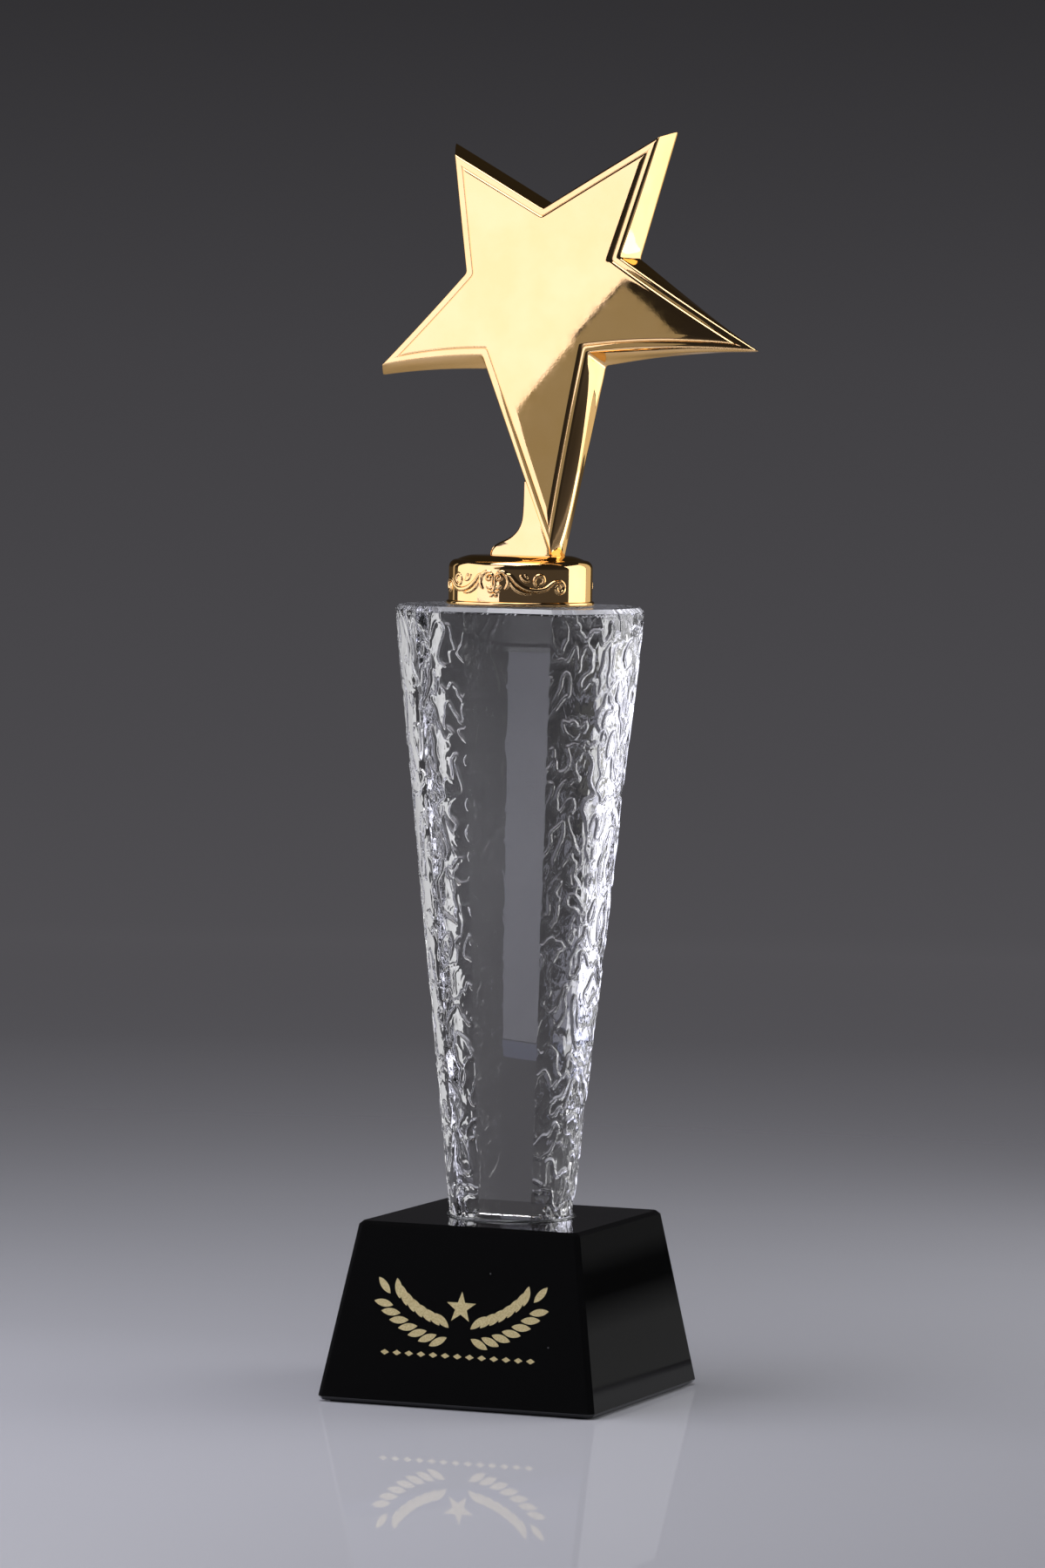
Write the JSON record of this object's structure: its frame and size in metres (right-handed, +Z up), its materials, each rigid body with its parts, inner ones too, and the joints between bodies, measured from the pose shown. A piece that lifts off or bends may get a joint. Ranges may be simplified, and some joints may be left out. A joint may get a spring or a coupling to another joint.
{
  "type": "crystal award",
  "caption": "Award with a black block base, a tapered clear column with textured flanks, a gold collar and a leaning gold star.",
  "frame": {"origin": "middle of the underside of the pad", "axes": "+Z up along the column's axis; -Y is the front, where the emblem and the star's face are; +X to the right as seen from the front"},
  "size_m": [0.1119, 0.0796, 0.3423],
  "materials": {
    "pad": "matt foam sheet",
    "black_crystal": "polished opaque black crystal",
    "gold_fill": "matt gold paint in a sandblasted pocket",
    "adhesive": "cured clear adhesive",
    "clear_crystal": "polished flats with chiselled flanks",
    "gold_plate": "polished gold plate",
    "steel": "zinc-plated"
  },
  "bodies": {
    "root": {"base_pad": "pad", "base_block": "black_crystal", "emblem_fill": "gold_fill", "foot_bond": "adhesive", "crystal_column": "clear_crystal", "collar_bond": "adhesive", "collar": "gold_plate", "star": "gold_plate", "fixing_washer": "steel", "fixing_screw": "steel"}
  },
  "joints": []
}
